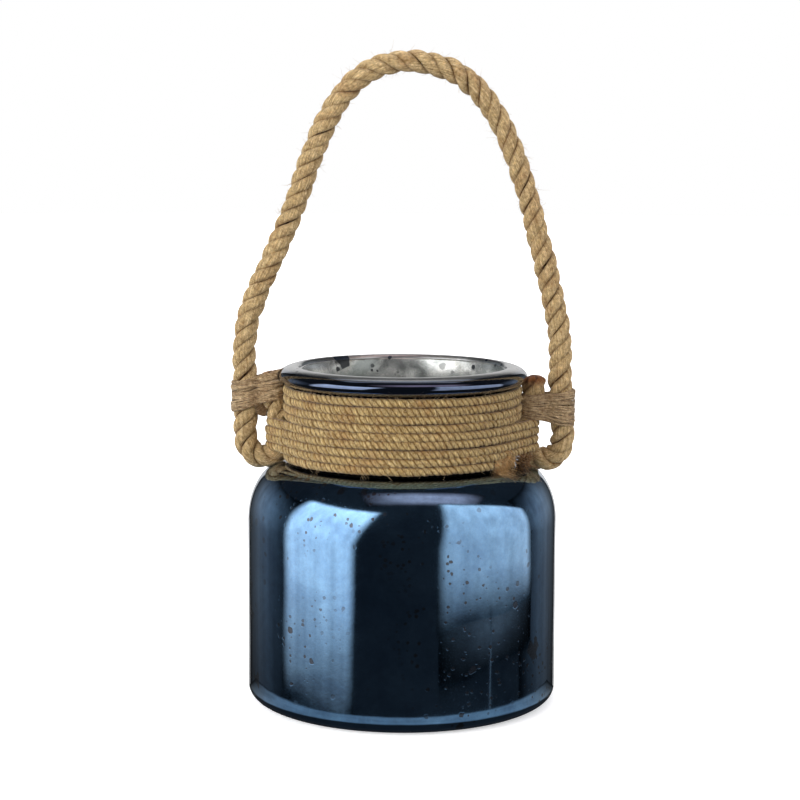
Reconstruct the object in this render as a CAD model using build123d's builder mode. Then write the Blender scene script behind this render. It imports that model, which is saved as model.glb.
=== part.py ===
"""Glass jar lantern with a rope handle: a blown jar, silvered inside, whose neck is bound with jute twine.

Millimetres, +Z up. The origin is the middle of the jar's flat base. The handle's legs stand at +X and -X.
"""
import os
from math import acos, asin, cos, degrees, pi, radians, sin, tan

from build123d import *

# Jar
BODY_R = 75.0  # outside of the body
BODY_TOP = 88.7  # where the shoulder starts
HEEL_R, HEEL_Z = 9.1, 6.8  # the heel's curve, across and up
SHOULDER_R, SHOULDER_Z = 18.4, 27.3  # the shoulder's curve, across and up
NECK_R = 53.8  # outside of the neck
NECK_INNER_R = 48.6
NECK_FILLET = 2.0  # between the shoulder and the neck
RIM_R, RIM_Z = 51.2, 158.2  # the crest's radius, and the height of the bead's middle
RIM_OUT, RIM_IN, RIM_UP = 9.0, 2.6, 4.76  # how far the bead stands out, in and up from there
WALL = 3.4
FLOOR = 5.0
SILVER = 0.3  # the lining's thickness

# Twine round the neck
TWINE_R = 1.96
TWINE_PITCH = 3.93
TWINE_TURNS = 9
TWINE_BOTTOM = 117.95
UPPER_TURNS, MIDDLE_TURNS = 4, 4  # counted from the rim; the last turn lies below them
LAST_TURN_ARC = 318.0  # degrees that the last turn covers
TWINE_END_ANGLE = -35.0  # where it is cut, in degrees from +X
TWINE_END_R, TWINE_END_LENGTH = 3.2, 7.5  # its frayed end
TWINE_END_DROP = 0.35  # how far the frayed end drops, for each millimetre along the neck
TIED_SHARE = 0.9  # of the twine's radius that is left where it frays

# Rope
ROPE_R = 6.0
TAIL_X = 58.4  # middle of a tail where the twine holds it
TAIL_HOLD_R = 6.1  # the twine's own line round it
HINGE_Z = 164.0  # the handle folds about a line at this height, along X
EYE_TOP = HINGE_Z - ROPE_R - 1.0
CORNER_SHARE = 0.45  # of the shorter run beside a corner that its arc uses
ROUTE_ARCH = [
    (-76.3, 0, HINGE_Z), (-76.7, 0, 176), (-72.3, 0, 194.3), (-63.1, 0, 213.3), (-53.3, 0, 236),
    (-46, 0, 257.8), (-38, 0, 278.5), (-26.2, 0, 297.4), (-9.8, 0, 307.8), (10, 0, 308),
    (28.7, 0, 302), (44, 0, 284.2), (54.2, 0, 261.7), (60.9, 0, 239.6), (67.7, 0, 213.8),
    (73.8, 0, 187.9), (76.1, 0, 174), (76, 0, HINGE_Z),
]
ROUTE_EYE_LEFT = [
    (-76.3, 0, EYE_TOP), (-75.6, 0, 145.5), (-76.1, 0, 134.5), (-76, 0, 123.5), (-70.9, 0, 118.2),
    (-63.5, 0, 118), (-58.6, 0, 123.2), (-58.5, 0, 132), (-60.9, 0, 140.5), (-63.4, 0, 149.5),
    (-63.6, 0, 160),
]
ROUTE_EYE_RIGHT = [
    (76, 0, EYE_TOP), (76.4, 0, 146), (77.4, 0, 135), (77.9, 0, 124), (73.2, 0, 117.9),
    (65.3, 0, 117.4), (59.4, 0, 122.9), (58.7, 0, 131.5), (61.3, 0, 139.5), (64.1, 0, 148),
    (62.9, 0, 158.5),
]

# Gaps left round the glass
TWINE_CLEAR, ROPE_CLEAR = 0.02, 0.05

# Seizings: where each one starts and how tall it is
SEIZING_LEFT_Z, SEIZING_LEFT_H = 143.5, 13.0
SEIZING_RIGHT_Z, SEIZING_RIGHT_H = 137.8, 11.0
SEIZING_WALL = 1.3
SEIZING_LEFT_X, SEIZING_LEFT_SPREAD = -69.6, 12.6  # its middle, and how far apart the two ropes in it are
SEIZING_RIGHT_X, SEIZING_RIGHT_SPREAD = 69.9, 14.2


def jar_outline(grow=0.0):
    """The jar's outside and its rim, from the axis at the base to the axis at the rim's inside."""
    under_rim = degrees(asin((NECK_R + grow - RIM_R) / (RIM_OUT + grow))) - 90
    heel = EllipticalCenterArc(
        (BODY_R - HEEL_R, HEEL_Z), HEEL_R + grow, HEEL_Z + grow, -90, arc_size=90
    )
    shoulder = EllipticalCenterArc(
        (BODY_R - SHOULDER_R, BODY_TOP), SHOULDER_R + grow, SHOULDER_Z + grow, 0, arc_size=90
    )
    middle = (NECK_R + grow + NECK_FILLET, BODY_TOP + SHOULDER_Z + grow + NECK_FILLET)
    fillet_arc = CenterArc(middle, NECK_FILLET, 180, 90)
    bead = EllipticalCenterArc(
        (RIM_R, RIM_Z), RIM_OUT + grow, RIM_UP + grow, under_rim, arc_size=90 - under_rim
    )
    lip = EllipticalCenterArc((RIM_R, RIM_Z), RIM_IN + grow, RIM_UP + grow, 90, arc_size=90)
    Line((0, -grow), heel @ 0)
    Line(heel @ 1, shoulder @ 0)
    Line(shoulder @ 1, fillet_arc @ 1)
    Line(fillet_arc @ 0, bead @ 0)
    Line(lip @ 1, (0, RIM_Z))
    Line((0, RIM_Z), (0, -grow))


def cavity_outline(inset=0.0):
    """The space inside the jar up to the rim, drawn inset from the glass."""
    body = BODY_R - WALL - inset
    neck = NECK_INNER_R - inset
    floor = FLOOR + inset
    fillet_r = NECK_FILLET * 2
    across = body - neck - fillet_r
    up = SHOULDER_Z - WALL - inset
    heel = EllipticalCenterArc((body - HEEL_R, floor + HEEL_Z), HEEL_R, HEEL_Z, -90, arc_size=90)
    shoulder = EllipticalCenterArc((body - across, BODY_TOP), across, up, 0, arc_size=90)
    turn = CenterArc((neck + fillet_r, BODY_TOP + up + fillet_r), fillet_r, 180, 90)
    Line((0, floor), heel @ 0)
    Line(heel @ 1, shoulder @ 0)
    Line(turn @ 0, (neck, RIM_Z))
    Line((neck, RIM_Z), (0, RIM_Z))
    Line((0, RIM_Z), (0, floor))


def turn_height(turn):
    """Middle height of a turn of twine, counted from 1 at the rim."""
    return TWINE_BOTTOM + TWINE_R + (TWINE_TURNS - turn) * TWINE_PITCH


def turns_profile(first, last):
    """Section through some turns of twine on the neck, flat where they lie on the glass."""
    line_r = NECK_R + TWINE_R
    for turn in range(first, last + 1):
        with Locations((line_r, turn_height(turn))):
            Circle(TWINE_R)
    low, high = turn_height(last), turn_height(first)
    with Locations((NECK_R + TWINE_R / 2, (low + high) / 2)):
        Rectangle(TWINE_R, high - low + TWINE_R)


def corner_radii(route):
    """The largest arc that the two runs beside each corner allow."""
    points = [Vector(*p) for p in route]
    radii = []
    for before, corner, after in zip(points, points[1:], points[2:]):
        turn = radians((corner - before).get_angle(after - corner))
        shorter = min((corner - before).length, (after - corner).length)
        radii.append(CORNER_SHARE * shorter / tan(turn / 2))
    return radii


def report_cord(name, route, wire, solid):
    radii = corner_radii(route)
    ratio = solid.volume / (pi * ROPE_R**2 * wire.length)
    print(f"{name}: {wire.length:.1f} mm long, volume / (section x length) {ratio:.3f}")
    print("  radii in diameters", [round(r / (2 * ROPE_R), 2) for r in radii])


os.makedirs("parts", exist_ok=True)


def save(piece, label):
    piece.part.label = label
    export_step(piece.part, f"parts/{label}.step")


# Jar
with BuildPart() as glass_jar:
    with BuildSketch(Plane.XZ):
        with BuildLine():
            jar_outline()
        make_face()
    revolve(axis=Axis.Z)
    with BuildSketch(Plane.XZ):
        with BuildLine():
            cavity_outline()
        make_face()
    revolve(axis=Axis.Z, mode=Mode.SUBTRACT)
save(glass_jar, "glass_jar")

with BuildPart() as silver_lining:
    with BuildSketch(Plane.XZ):
        with BuildLine():
            cavity_outline()
        make_face()
        with BuildLine():
            cavity_outline(SILVER)
        make_face(mode=Mode.SUBTRACT)
    revolve(axis=Axis.Z)
save(silver_lining, "silver_lining")

# Twine: the turns above the handle's tails, those that hold them, and the last one
with BuildPart() as neck_twine_upper:
    with BuildSketch(Plane.XZ):
        turns_profile(1, UPPER_TURNS)
    revolve(axis=Axis.Z)
save(neck_twine_upper, "neck_twine_upper")

line_radius = NECK_R + TWINE_R
leave = degrees(acos((line_radius - TAIL_HOLD_R) / TAIL_X))
with BuildPart() as neck_twine_middle:
    with BuildLine(Plane.XY.offset(turn_height(UPPER_TURNS + 1))) as half_turn:
        start = CenterArc((TAIL_X, 0), TAIL_HOLD_R, 0, leave)
        back = CenterArc((0, 0), line_radius, leave, 180 - 2 * leave)
        end = CenterArc((-TAIL_X, 0), TAIL_HOLD_R, 180 - leave, leave)
        Line(start @ 1, back @ 0)
        Line(back @ 1, end @ 0)
    with BuildSketch(Plane(origin=(TAIL_X + TAIL_HOLD_R, 0, 0), x_dir=(1, 0, 0), z_dir=(0, -1, 0))):
        for turn in range(UPPER_TURNS + 1, UPPER_TURNS + MIDDLE_TURNS + 1):
            with Locations((0, turn_height(turn))):
                Circle(TWINE_R)
        middle_low = turn_height(UPPER_TURNS + MIDDLE_TURNS)
        middle_high = turn_height(UPPER_TURNS + 1)
        with Locations((-TWINE_R / 2, (middle_low + middle_high) / 2)):
            Rectangle(TWINE_R, middle_high - middle_low + TWINE_R)
    sweep(path=half_turn.wire())
    mirror(about=Plane.XZ)
save(neck_twine_middle, "neck_twine_middle")

end_turn = radians(TWINE_END_ANGLE)
end_point = (line_radius * cos(end_turn), line_radius * sin(end_turn), turn_height(TWINE_TURNS))
with BuildPart() as neck_twine_lower:
    with BuildSketch(Plane.XZ.rotated((0, 0, TWINE_END_ANGLE))):
        turns_profile(TWINE_TURNS, TWINE_TURNS)
    revolve(axis=Axis.Z, revolution_arc=-LAST_TURN_ARC)
    frayed = Plane(origin=end_point, z_dir=(-sin(end_turn), cos(end_turn), -TWINE_END_DROP))
    with Locations(frayed):
        Cone(
            TWINE_R * TIED_SHARE, TWINE_END_R, TWINE_END_LENGTH,
            align=(Align.CENTER, Align.CENTER, Align.MIN),
        )
    with BuildSketch(Plane.XZ):
        with BuildLine():
            jar_outline(TWINE_CLEAR)
        make_face()
    revolve(axis=Axis.Z, mode=Mode.SUBTRACT)
save(neck_twine_lower, "neck_twine_lower")

# What the rope and its seizings lie against: the glass and the turns that pass behind them
with BuildPart() as rope_room:
    with BuildSketch(Plane.XZ):
        with BuildLine():
            jar_outline(ROPE_CLEAR)
        make_face()
        for first, last in ((1, UPPER_TURNS), (TWINE_TURNS, TWINE_TURNS)):
            low = turn_height(last) - TWINE_R
            high = turn_height(first) + TWINE_R
            with Locations((NECK_R / 2 + TWINE_R, (low + high) / 2)):
                Rectangle(NECK_R + 2 * (TWINE_R + ROPE_CLEAR), high - low + 2 * ROPE_CLEAR)
    revolve(axis=Axis.Z)

# Rope: the two eyes with their tails, and the handle's arch between them
eyes = {}
for side, route in (("left", ROUTE_EYE_LEFT), ("right", ROUTE_EYE_RIGHT)):
    with BuildPart() as rope_eye:
        with BuildLine() as line:
            FilletPolyline(*route, radius=corner_radii(route))
        with BuildSketch(Plane(origin=line.wire() @ 0, z_dir=line.wire() % 0)):
            Circle(ROPE_R)
        sweep(path=line.wire())
        report_cord(f"rope_eye_{side}", route, line.wire(), rope_eye.part)
        add(rope_room.part, mode=Mode.SUBTRACT)
    eyes[side] = rope_eye
    save(rope_eye, f"rope_eye_{side}")

with BuildPart() as rope_arch:
    with BuildLine() as line:
        FilletPolyline(*ROUTE_ARCH, radius=corner_radii(ROUTE_ARCH))
    arch = line.wire()
    with BuildSketch(Plane(origin=arch @ 0, z_dir=arch % 0)):
        Circle(ROPE_R)
    sweep(path=arch)
    report_cord("rope_arch", ROUTE_ARCH, arch, rope_arch.part)
    with Locations(Plane(origin=arch @ 0, z_dir=-(arch % 0)), Plane(origin=arch @ 1, z_dir=arch % 1)):
        Sphere(ROPE_R, arc_size1=0, arc_size2=90)
save(rope_arch, "rope_arch")

# Seizings
for side, middle_x, spread, low, height in (
    ("left", SEIZING_LEFT_X, SEIZING_LEFT_SPREAD, SEIZING_LEFT_Z, SEIZING_LEFT_H),
    ("right", SEIZING_RIGHT_X, SEIZING_RIGHT_SPREAD, SEIZING_RIGHT_Z, SEIZING_RIGHT_H),
):
    with BuildPart() as seizing:
        with BuildSketch(Plane.XY.offset(low)):
            with Locations((middle_x, 0)):
                SlotCenterToCenter(spread, 2 * (ROPE_R + SEIZING_WALL))
                SlotCenterToCenter(spread, 2 * ROPE_R, mode=Mode.SUBTRACT)
        extrude(amount=height)
        add(rope_room.part, mode=Mode.SUBTRACT)
    save(seizing, f"seizing_{side}")
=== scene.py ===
import math

import bpy
import numpy as np
from mathutils import Matrix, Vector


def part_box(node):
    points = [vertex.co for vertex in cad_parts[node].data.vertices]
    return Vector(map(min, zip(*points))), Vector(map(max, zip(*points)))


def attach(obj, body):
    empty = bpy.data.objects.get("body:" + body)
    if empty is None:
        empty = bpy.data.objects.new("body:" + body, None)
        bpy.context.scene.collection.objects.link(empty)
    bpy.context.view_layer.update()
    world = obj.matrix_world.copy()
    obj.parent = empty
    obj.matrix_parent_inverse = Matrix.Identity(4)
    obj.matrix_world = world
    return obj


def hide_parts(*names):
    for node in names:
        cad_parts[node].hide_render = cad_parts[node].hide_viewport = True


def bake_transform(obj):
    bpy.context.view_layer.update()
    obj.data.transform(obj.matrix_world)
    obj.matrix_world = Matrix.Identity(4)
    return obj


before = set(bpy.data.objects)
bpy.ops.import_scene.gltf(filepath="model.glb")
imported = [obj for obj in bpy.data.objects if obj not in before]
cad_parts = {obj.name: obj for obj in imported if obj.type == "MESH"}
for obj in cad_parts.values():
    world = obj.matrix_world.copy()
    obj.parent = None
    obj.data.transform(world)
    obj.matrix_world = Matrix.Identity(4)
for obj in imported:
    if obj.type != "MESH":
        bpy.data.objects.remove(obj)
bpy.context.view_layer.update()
rng = np.random.default_rng(7)
MM = 0.001
TAU = 2 * math.pi

# ---------------------------------------------------------------- sizes, in metres
GLASS_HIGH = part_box("glass_jar")[1]
BODY_R = GLASS_HIGH[0]
JAR_TOP = GLASS_HIGH[2]
BODY_TOP = 88.7 * MM
HEEL_R, HEEL_Z = 9.1 * MM, 6.8 * MM
SHOULDER_R, SHOULDER_Z = 18.4 * MM, 27.3 * MM
NECK_R, NECK_INNER_R = 53.8 * MM, 48.6 * MM
NECK_FILLET = 2.0 * MM
RIM_R, RIM_OUT, RIM_IN = 51.2 * MM, 9.0 * MM, 2.6 * MM
RIM_UP = 4.76 * MM
RIM_Z = JAR_TOP - RIM_UP
LIP_DOWN = 13.0 * MM  # how far the flare inside the rim reaches down
WALL, FLOOR, SILVER = 3.4 * MM, 5.0 * MM, 0.3 * MM

TWINE_R, TWINE_PITCH = 1.96 * MM, 3.93 * MM
TWINE_BOTTOM = 117.95 * MM
TWINE_LEVELS, UPPER_LEVELS, MIDDLE_LEVELS = 9, 4, 4
TWINE_LINE_R = NECK_R + TWINE_R
TWINE_LAY = 8.7 * MM
TWINE_BULGE = 1.85 * TWINE_R  # how far the turns stand out from the neck where the rope lies on them
TAIL_X, TAIL_HOLD_R = 58.4 * MM, 6.1 * MM
TWINE_END_ANGLE = math.radians(-35)
STEP_FROM, STEP_TO = math.radians(36), math.radians(100)  # where each turn steps down a level

ROPE_R = 6.0 * MM
ROPE_LAY = 22.8 * MM
ROPE_THIN_Z, ROPE_THIN = [125, 150, 200, 240, 305], [1.0, 0.98, 0.945, 0.905, 0.90]  # height in mm, share of ROPE_R
EYE_SPLIT_X = 69.5 * MM  # between a tail and its standing leg
WRAP_STEP = 0.7 * MM  # spacing of the rings along a lashing's turns
TOUCH_GAP = 0.08 * MM  # what is pressed against the glass or the twine stays this far off it
FIBRE_R = (0.06, 0.10)  # stray fibres, in mm
# The rope, from the left tail's tip round its eye, over the arch and down to the right tail's tip
ROPE_ROUTE = [
    (x * MM, 0.0, z * MM)
    for x, z in (
        (-63.6, 160), (-63.4, 149.5), (-60.9, 140.5), (-58.5, 132), (-58.6, 123.2), (-63.5, 118),
        (-70.9, 118.2), (-76, 123.5), (-76.1, 134.5), (-75.6, 145.5), (-76.3, 157), (-76.7, 176),
        (-72.3, 194.3), (-63.1, 213.3), (-53.3, 236), (-46, 257.8), (-38, 278.5), (-26.2, 297.4),
        (-9.8, 307.8), (10, 308), (28.7, 302), (44, 284.2), (54.2, 261.7), (60.9, 239.6),
        (67.7, 213.8), (73.8, 187.9), (76.1, 174), (76, 157), (76.4, 146), (77.4, 135), (77.9, 124),
        (73.2, 117.9), (65.3, 117.4), (59.4, 122.9), (58.7, 131.5), (61.3, 139.5), (64.1, 148),
        (62.9, 158.5),
    )
]


# ---------------------------------------------------------------- camera, floor and light
CAMERA_AT, CAMERA_LENS = (-0.0013, -1.0, 0.2747), 93.73
CAMERA_DOWN, CAMERA_ROLL = 0.128, 0.0045  # radians
SHADE_R, SHADE_FADE = 0.11, 0.25  # the floor's glow is halved under the jar and whole this far beyond


def camera():
    """One metre in front of the jar, looking seven degrees down, as the photograph was taken."""
    data = bpy.data.cameras.new("camera")
    data.sensor_width = 36.0
    data.lens = CAMERA_LENS
    obj = bpy.data.objects.new("camera", data)
    tilt = Matrix.Rotation(math.pi / 2 - CAMERA_DOWN, 4, "X")
    roll = Matrix.Rotation(CAMERA_ROLL, 4, "Z")
    obj.matrix_world = Matrix.Translation(CAMERA_AT) @ tilt @ roll
    bpy.context.collection.objects.link(obj)
    bpy.context.scene.camera = obj


CARD_STEPS = 16


def between(corners):
    """An even grid of points inside four corners, given low left, low right, high right, high left."""
    low_a, low_b, high_b, high_a = (np.array(corner, dtype=float) for corner in corners)
    across, up = np.meshgrid(np.linspace(0, 1, CARD_STEPS + 1), np.linspace(0, 1, CARD_STEPS + 1))
    u, v = across.ravel()[:, None], up.ravel()[:, None]
    return (low_a * (1 - u) + low_b * u) * (1 - v) + (high_a * (1 - u) + high_b * u) * v, np.hstack([u, v])


def card(name, points, uvs, radiance, colour=(1.0, 1.0, 1.0), soft=0.08, low=1.0, in_gloss=True, only_gloss=False):
    """A glowing sheet, unseen by the camera, that lights the lantern and shows in its gloss.

    soft is the share of each side over which it fades in, and low how bright its low edge is for its high one.
    """
    row = CARD_STEPS + 1
    faces = [
        (r * row + c, r * row + c + 1, (r + 1) * row + c + 1, (r + 1) * row + c)
        for r in range(CARD_STEPS)
        for c in range(CARD_STEPS)
    ]
    obj = new_object(name, points, faces, uvs=uvs)
    material = bpy.data.materials.new(name)
    material.use_nodes = True
    tree = material.node_tree
    tree.nodes.clear()
    place = node(tree, "ShaderNodeUVMap", uv_map="thread").outputs["UV"]
    split = tree.nodes.new("ShaderNodeSeparateXYZ")
    tree.links.new(place, split.inputs["Vector"])
    edge = 1.0
    for side in (split.outputs["X"], split.outputs["Y"]):
        inward = maths(tree, "MINIMUM", side, maths(tree, "SUBTRACT", 1.0, side))
        edge = maths(tree, "MULTIPLY", maths(tree, "DIVIDE", inward, soft, clamp=True), edge)
    graded = maths(tree, "ADD", maths(tree, "MULTIPLY", split.outputs["Y"], 1.0 - low), low)
    uneven = maths(tree, "ADD", noise(tree, scaled(tree, place, (9.0, 2.5, 1.0)), 1.0, detail=2.0), 0.55)
    bright = maths(tree, "MULTIPLY", maths(tree, "MULTIPLY", edge, graded), radiance)
    bright = maths(tree, "MULTIPLY", bright, uneven)
    glow = node(tree, "ShaderNodeEmission", Color=(*colour, 1))
    tree.links.new(bright, glow.inputs["Strength"])
    out = tree.nodes.new("ShaderNodeOutputMaterial")
    tree.links.new(glow.outputs["Emission"], out.inputs["Surface"])
    obj.data.materials.append(material)
    obj.visible_camera = False
    obj.visible_shadow = False
    obj.visible_glossy = in_gloss
    obj.visible_diffuse = not only_gloss


def standing_card(name, distance, corners, radiance, **look):
    """A card that stands round the jar. Corners are (degrees from the front to the right, height)."""
    grid, uvs = between(corners)
    turn = np.radians(grid[:, 0])
    points = np.stack([distance * np.sin(turn), -distance * np.cos(turn), grid[:, 1]], axis=1)
    card(name, points, uvs, radiance, **look)


def lying_card(name, height, corners, radiance, **look):
    """A card that lies round the jar's foot and only shows in gloss. Corners are (degrees, radius)."""
    grid, uvs = between(corners)
    turn, away = np.radians(grid[:, 0]), grid[:, 1]
    points = np.stack([away * np.sin(turn), -away * np.cos(turn), 0 * away + height], axis=1)
    card(name, points, uvs, radiance, colour=(0.80, 0.92, 1.0), only_gloss=True, **look)


def floor_piece(name, radius):
    """The white floor. What it would reflect and cast on the jar comes from the cards and the world."""
    around = 96
    turns = full_turn(around)
    vertices = radius * np.stack([np.cos(turns), np.sin(turns), 0 * turns], axis=1)
    obj = new_object(name, vertices, [tuple(range(around))], smooth=False)
    white = bpy.data.materials.new("floor_white")
    white.use_nodes = True
    shader = white.node_tree.nodes["Principled BSDF"]
    shader.inputs["Base Color"].default_value = (0.92, 0.92, 0.92, 1)
    shader.inputs["Roughness"].default_value = 0.9
    shader.inputs["Specular IOR Level"].default_value = 0.1
    shader.inputs["Emission Color"].default_value = (1, 1, 1, 1)
    tree = white.node_tree
    place = tree.nodes.new("ShaderNodeNewGeometry").outputs["Position"]
    away = node(tree, "ShaderNodeVectorMath", operation="LENGTH")
    tree.links.new(place, away.inputs[0])
    share = maths(tree, "SUBTRACT", away.outputs["Value"], SHADE_R)
    share = maths(tree, "DIVIDE", share, SHADE_FADE, clamp=True)
    glow = maths(tree, "ADD", maths(tree, "MULTIPLY", share, 0.5), 0.5)
    tree.links.new(glow, shader.inputs["Emission Strength"])
    obj.data.materials.append(white)
    obj.visible_glossy = False
    obj.visible_diffuse = False


def studio():
    """White where the camera looks; what lights the jar and what it reflects are set on their own."""
    floor_piece("floor", 6.0)

    world = bpy.data.worlds.new("studio")
    world.use_nodes = True
    bpy.context.scene.world = world
    tree = world.node_tree
    tree.nodes.clear()
    rays = tree.nodes.new("ShaderNodeLightPath")
    direction = tree.nodes.new("ShaderNodeTexCoord").outputs["Generated"]
    split = tree.nodes.new("ShaderNodeSeparateXYZ")
    tree.links.new(direction, split.inputs["Vector"])
    height = maths(tree, "MULTIPLY", maths(tree, "ADD", split.outputs["Z"], 1.0), 0.5)
    fill = ramp(tree, height, [(0.30, (0.28, 0.28, 0.28)), (0.50, (0.46, 0.46, 0.47)), (0.85, (0.90, 0.90, 0.92))])
    not_glossy = mix_colour(tree, rays.outputs["Is Glossy Ray"], fill, (0.024, 0.026, 0.029, 1))
    seen = mix_colour(tree, rays.outputs["Is Camera Ray"], not_glossy, (1.0, 1.0, 1.0, 1))
    light = tree.nodes.new("ShaderNodeBackground")
    out = tree.nodes.new("ShaderNodeOutputWorld")
    tree.links.new(seen, light.inputs["Color"])
    tree.links.new(light.outputs["Background"], out.inputs["Surface"])

    standing_card("card_left", 1.1, [(-97, -0.27), (-35, -0.29), (-14, 0.92), (-84, 0.92)], 2.65, low=0.56,
                  soft=0.11)
    standing_card("card_right", 0.45, [(23, -0.045), (104, -0.030), (98, 0.20), (33, 0.60)], 1.55, low=0.62)
    standing_card("card_right_low", 0.47, [(25, -0.085), (104, -0.07), (104, 0.03), (25, 0.03)], 0.26,
                  colour=(1.0, 0.94, 0.92), soft=0.45)
    standing_card("card_behind", 1.6, [(112, -0.6), (240, -0.6), (240, 0.9), (112, 0.9)], 0.60, soft=0.22)
    standing_card("card_back_left", 1.1, [(196, -0.32), (232, -0.32), (228, 0.8), (200, 0.8)], 1.3, in_gloss=False)
    standing_card("card_back_right", 1.1, [(128, -0.32), (160, -0.32), (158, 0.8), (132, 0.8)], 1.3, in_gloss=False)
    above, uvs = between([(-0.5, -0.82, 1.0), (1.3, -0.70, 1.0), (0.9, -0.05, 1.0), (-0.35, -0.12, 1.0)])
    card("card_above", above, uvs, 1.05, colour=(1.0, 0.74, 0.76), soft=0.32, low=0.7)
    top, uvs = between([(-0.30, -0.12, 0.8), (0.30, -0.12, 0.8), (0.30, 0.40, 0.8), (-0.30, 0.40, 0.8)])
    card("card_top", top, uvs, 2.2, in_gloss=False)
    shine, uvs = between([(-0.30, 0.12, 0.8), (0.30, 0.12, 0.8), (0.30, 0.60, 0.8), (-0.30, 0.60, 0.8)])
    card("card_top_shine", shine, uvs, 0.6, only_gloss=True)
    standing_card("card_side_left", 1.5, [(-158, -0.5), (-88, -0.5), (-88, 0.9), (-158, 0.9)], 0.36, soft=0.42,
                  colour=(0.8, 0.9, 1.0))
    standing_card("card_side_right", 1.5, [(95, -0.5), (158, -0.5), (158, 0.9), (95, 0.9)], 0.38, soft=0.42,
                  colour=(0.8, 0.9, 1.0))
    standing_card("card_key", 1.3, [(-78, 0.1), (-28, 0.1), (-28, 0.9), (-78, 0.9)], 7.6, in_gloss=False)
    standing_card("card_upright", 0.44, [(62.8, -0.12), (64.0, -0.12), (64.0, -0.03), (62.8, -0.03)], 0.24, soft=0.3,
                  only_gloss=True)
    # what the floor close to the jar gives back in its gloss: it is dark right beside the foot
    lying_card("card_below", 0.0020, [(-96, 0.0785), (96, 0.0785), (96, 0.101), (-96, 0.101)], 0.42, soft=0.16)
    view = bpy.context.scene.view_settings
    view.view_transform = "Standard"
    view.look = "None"


# ---------------------------------------------------------------- mesh helpers
def new_object(name, vertices, faces, uvs=None, attributes=None, smooth=True):
    mesh = bpy.data.meshes.new(name)
    mesh.from_pydata([tuple(v) for v in vertices], [], [tuple(f) for f in faces])
    if uvs is not None:
        layer = mesh.uv_layers.new(name="thread")
        index = np.empty(len(mesh.loops), dtype=np.int32)
        mesh.loops.foreach_get("vertex_index", index)
        layer.data.foreach_set("uv", np.asarray(uvs, dtype=np.float32)[index].ravel())
    for key, values in (attributes or {}).items():
        layer = mesh.attributes.new(key, "FLOAT", "POINT")
        layer.data.foreach_set("value", np.asarray(values, dtype=np.float32))
    mesh.polygons.foreach_set("use_smooth", [smooth] * len(mesh.polygons))
    mesh.update()
    obj = bpy.data.objects.new(name, mesh)
    bpy.context.collection.objects.link(obj)
    return obj


def eased(share):
    return share * share * (3 - 2 * share)


def full_turn(steps):
    return np.arange(steps) / steps * TAU


def unit(vector):
    return vector / np.linalg.norm(vector)


def from_axis(point):
    """The level direction from the jar's axis to a point."""
    return unit(np.array([point[0], point[1], 0.0]))


def even_line(points, spacing):
    """The same line with its points evenly spaced. Returns the points and their places along it."""
    points = np.asarray(points, dtype=float)
    along = np.concatenate([[0], np.cumsum(np.linalg.norm(np.diff(points, axis=0), axis=1))])
    count = max(int(round(along[-1] / spacing)), 2)
    at = np.linspace(0, along[-1], count + 1)
    return np.stack([np.interp(at, along, points[:, k]) for k in range(3)], axis=1), at


def line_frames(points, first_normal=(0.0, 0.0, 1.0)):
    """Directions along a line and two across it, which turn as little as they can."""
    ahead = np.gradient(points, axis=0)
    ahead /= np.linalg.norm(ahead, axis=1, keepdims=True)
    normal = np.asarray(first_normal, dtype=float)
    if abs(normal @ ahead[0]) > 0.9:
        normal = np.array([0.0, 1.0, 0.0])
    normals = np.empty_like(points)
    for i, direction in enumerate(ahead):
        normal = normal - direction * (normal @ direction)
        normal = normal / np.linalg.norm(normal)
        normals[i] = normal
    return ahead, normals, np.cross(ahead, normals)


def slow_noise(at, period, octaves=3):
    """A smooth random line between about -1 and 1 over the places in at."""
    total = np.zeros_like(at)
    for octave in range(octaves):
        step = period / 2**octave
        knots = rng.normal(0, 0.5**octave, int(at[-1] / step) + 4)
        place = at / step + 1
        low = place.astype(int)
        share = place - low
        share = eased(share)
        total += knots[low] * (1 - share) + knots[low + 1] * share
    return np.clip(total / 1.6, -1.3, 1.3)


def tube_grid(rings, around, first, closed_ends=True):
    """Quads between rings of vertices, with one face as the cap on each end."""
    i = np.arange(rings - 1)[:, None] * around
    j = np.arange(around)[None, :]
    k = (j + 1) % around
    quads = np.stack([i + j, i + k, i + around + k, i + around + j], axis=-1).reshape(-1, 4) + first
    faces = [tuple(q) for q in quads.tolist()]
    if closed_ends:
        faces.append(tuple(range(first + around - 1, first - 1, -1)))
        last = first + (rings - 1) * around
        faces.append(tuple(range(last, last + around)))
    return faces


def rings_round(points, one, other, normals, across):
    """A ring of vertices at each point of a line, at these distances along its two directions across."""
    return points[:, None, :] + one[..., None] * normals[:, None, :] + other[..., None] * across[:, None, :]


def thread_uv(along, turned):
    return np.stack(np.broadcast_arrays(along, turned), axis=-1)


def fixed_piece(piece, material, slot, *nodes):
    """A piece that stays with the jar."""
    piece.data.materials.append(material)
    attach(piece, "jar")
    if nodes:
        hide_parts(*nodes)


def join_tubes(name, tubes):
    """One object from several (points[rings, around, 3], uvs, attributes) tubes."""
    vertices, uvs, faces, attributes = [], [], [], {}
    first = 0
    for points, uv, extra in tubes:
        rings, around = points.shape[:2]
        faces += tube_grid(rings, around, first)
        vertices.append(points.reshape(-1, 3))
        uvs.append(uv.reshape(-1, 2))
        for key, values in extra.items():
            attributes.setdefault(key, []).append(np.broadcast_to(values, (rings, around)).ravel())
        first += rings * around
    merged = {key: np.concatenate(values) for key, values in attributes.items()}
    return new_object(name, np.concatenate(vertices), faces, np.concatenate(uvs), merged)


# ---------------------------------------------------------------- materials
def node(tree, kind, **values):
    made = tree.nodes.new(kind)
    for key, value in values.items():
        if key in made.inputs:
            made.inputs[key].default_value = value
        else:
            setattr(made, key, value)
    return made


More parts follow.
